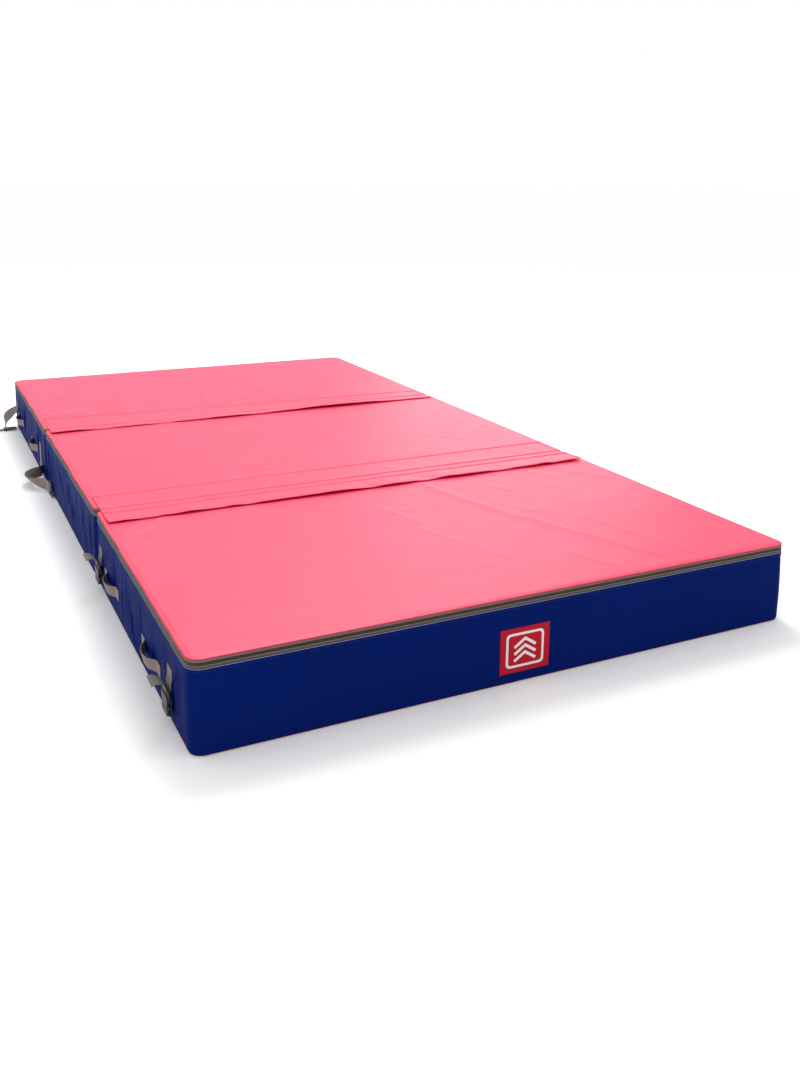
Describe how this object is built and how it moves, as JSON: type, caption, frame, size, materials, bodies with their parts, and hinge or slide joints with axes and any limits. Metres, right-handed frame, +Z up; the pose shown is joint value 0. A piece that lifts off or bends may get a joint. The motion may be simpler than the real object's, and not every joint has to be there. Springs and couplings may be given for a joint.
{
  "type": "crash landing mat",
  "caption": "Folding foam landing mat: hinged vinyl-covered panels in a row with perimeter zips, joint cover flaps, webbing carry handles and buckled fastening straps.",
  "frame": {"origin": "centre of the mat's underside, on the floor", "axes": "+Z up, +Y along the mat's length away from the badge wall, +X across it"},
  "size_m": [1.772, 3.0029, 0.2026],
  "materials": {
    "red_vinyl": "semi-gloss vinyl-coated fabric",
    "navy_vinyl": "semi-gloss vinyl-coated fabric",
    "zip_tape": "woven tape with a black nylon coil",
    "soft_foam": "open-cell foam",
    "firm_foam": "closed-cell foam",
    "webbing": "woven webbing",
    "black_plastic": "satin moulded plastic",
    "zinc": "dark satin plating",
    "badge_fabric": "sewn patch"
  },
  "bodies": {
    "near_panel": {"near_bottom_sheet": "red_vinyl", "near_wall_band": "navy_vinyl", "near_top_sheet": "red_vinyl", "near_zip_lower_tape": "zip_tape", "near_zip_upper_tape": "zip_tape", "near_foam_block": "soft_foam", "near_foam_top_layer": "firm_foam", "near_joint_hinge_leaf_front": "navy_vinyl", "near_joint_flap_front": "red_vinyl", "front_badge": "badge_fabric", "near_left_front_handle": "webbing", "near_left_rear_handle": "webbing", "near_right_front_handle": "webbing", "near_right_rear_handle": "webbing"},
    "middle_panel": {"middle_bottom_sheet": "red_vinyl", "middle_wall_band": "navy_vinyl", "middle_top_sheet": "red_vinyl", "middle_zip_lower_tape": "zip_tape", "middle_zip_upper_tape": "zip_tape", "middle_foam_block": "soft_foam", "middle_foam_top_layer": "firm_foam", "near_joint_hinge_leaf_rear": "navy_vinyl", "near_joint_flap_rear": "red_vinyl", "far_joint_hinge_leaf_front": "navy_vinyl"},
    "far_panel": {"far_bottom_sheet": "red_vinyl", "far_wall_band": "navy_vinyl", "far_top_sheet": "red_vinyl", "far_zip_lower_tape": "zip_tape", "far_zip_upper_tape": "zip_tape", "far_foam_block": "soft_foam", "far_foam_top_layer": "firm_foam", "far_joint_hinge_leaf_rear": "navy_vinyl", "far_joint_flap": "red_vinyl", "far_left_front_handle": "webbing", "far_left_rear_handle": "webbing", "far_right_front_handle": "webbing", "far_right_rear_handle": "webbing"},
    "near_zip_slider": {"near_zip_slider": "zinc"},
    "near_zip_pull": {"near_zip_pull": "zinc"},
    "middle_zip_slider": {"middle_zip_slider": "zinc"},
    "middle_zip_pull": {"middle_zip_pull": "zinc"},
    "far_zip_slider": {"far_zip_slider": "zinc"},
    "far_zip_pull": {"far_zip_pull": "zinc"},
    "near_left_front_strap_end": {"near_left_front_strap": "webbing", "near_left_front_buckle_socket": "black_plastic"},
    "near_left_rear_strap_end": {"near_left_rear_strap": "webbing", "near_left_rear_buckle_socket": "black_plastic"},
    "far_left_front_strap_end": {"far_left_front_strap": "webbing", "far_left_front_buckle_plug": "black_plastic"},
    "far_left_rear_strap_end": {"far_left_rear_strap": "webbing", "far_left_rear_buckle_plug": "black_plastic"},
    "near_right_front_strap_end": {"near_right_front_strap": "webbing", "near_right_front_buckle_socket": "black_plastic"},
    "near_right_rear_strap_end": {"near_right_rear_strap": "webbing", "near_right_rear_buckle_socket": "black_plastic"},
    "far_right_front_strap_end": {"far_right_front_strap": "webbing", "far_right_front_buckle_plug": "black_plastic"},
    "far_right_rear_strap_end": {"far_right_rear_strap": "webbing", "far_right_rear_buckle_plug": "black_plastic"}
  },
  "joints": [
    {"name": "near_fold", "type": "hinge", "parent": "near_panel", "child": "middle_panel", "pos_m": [0, -0.501, 0.203], "axis": [1, 0, 0], "range_deg": [0, 180]},
    {"name": "far_fold", "type": "hinge", "parent": "middle_panel", "child": "far_panel", "pos_m": [0, 0.501, -0.0005], "axis": [-1, 0, 0], "range_deg": [0, 180]},
    {"name": "near_zip_slide", "type": "slide", "parent": "near_panel", "child": "near_zip_slider", "axis": [0, -1, 0], "range_m": [0, 0.72]},
    {"name": "near_zip_pull_swing", "type": "hinge", "parent": "near_zip_slider", "child": "near_zip_pull", "pos_m": [0.7588, -0.712, 0.189], "axis": [0, -1, 0], "range_deg": [0, 85]},
    {"name": "middle_zip_slide", "type": "slide", "parent": "middle_panel", "child": "middle_zip_slider", "axis": [0, -1, 0], "range_m": [0, 0.72]},
    {"name": "middle_zip_pull_swing", "type": "hinge", "parent": "middle_zip_slider", "child": "middle_zip_pull", "pos_m": [0.7588, 0.29, 0.189], "axis": [0, -1, 0], "range_deg": [0, 85]},
    {"name": "far_zip_slide", "type": "slide", "parent": "far_panel", "child": "far_zip_slider", "axis": [0, -1, 0], "range_m": [0, 0.72]},
    {"name": "far_zip_pull_swing", "type": "hinge", "parent": "far_zip_slider", "child": "far_zip_pull", "pos_m": [0.7588, 1.292, 0.189], "axis": [0, -1, 0], "range_deg": [0, 85]},
    {"name": "near_left_front_strap_swing", "type": "hinge", "parent": "near_panel", "child": "near_left_front_strap_end", "pos_m": [-0.75, -1.345, 0.1225], "axis": [0, 1, 0], "range_deg": [0, 60]},
    {"name": "near_left_rear_strap_swing", "type": "hinge", "parent": "near_panel", "child": "near_left_rear_strap_end", "pos_m": [-0.75, -0.575, 0.1225], "axis": [0, 1, 0], "range_deg": [0, 60]},
    {"name": "far_left_front_strap_swing", "type": "hinge", "parent": "far_panel", "child": "far_left_front_strap_end", "pos_m": [-0.75, 0.659, 0.1225], "axis": [0, 1, 0], "range_deg": [0, 60]},
    {"name": "far_left_rear_strap_swing", "type": "hinge", "parent": "far_panel", "child": "far_left_rear_strap_end", "pos_m": [-0.75, 1.429, 0.1225], "axis": [0, 1, 0], "range_deg": [0, 60]},
    {"name": "near_right_front_strap_swing", "type": "hinge", "parent": "near_panel", "child": "near_right_front_strap_end", "pos_m": [0.75, -1.345, 0.1225], "axis": [0, -1, 0], "range_deg": [0, 60]},
    {"name": "near_right_rear_strap_swing", "type": "hinge", "parent": "near_panel", "child": "near_right_rear_strap_end", "pos_m": [0.75, -0.575, 0.1225], "axis": [0, -1, 0], "range_deg": [0, 60]},
    {"name": "far_right_front_strap_swing", "type": "hinge", "parent": "far_panel", "child": "far_right_front_strap_end", "pos_m": [0.75, 0.659, 0.1225], "axis": [0, -1, 0], "range_deg": [0, 60]},
    {"name": "far_right_rear_strap_swing", "type": "hinge", "parent": "far_panel", "child": "far_right_rear_strap_end", "pos_m": [0.75, 1.429, 0.1225], "axis": [0, -1, 0], "range_deg": [0, 60]}
  ]
}
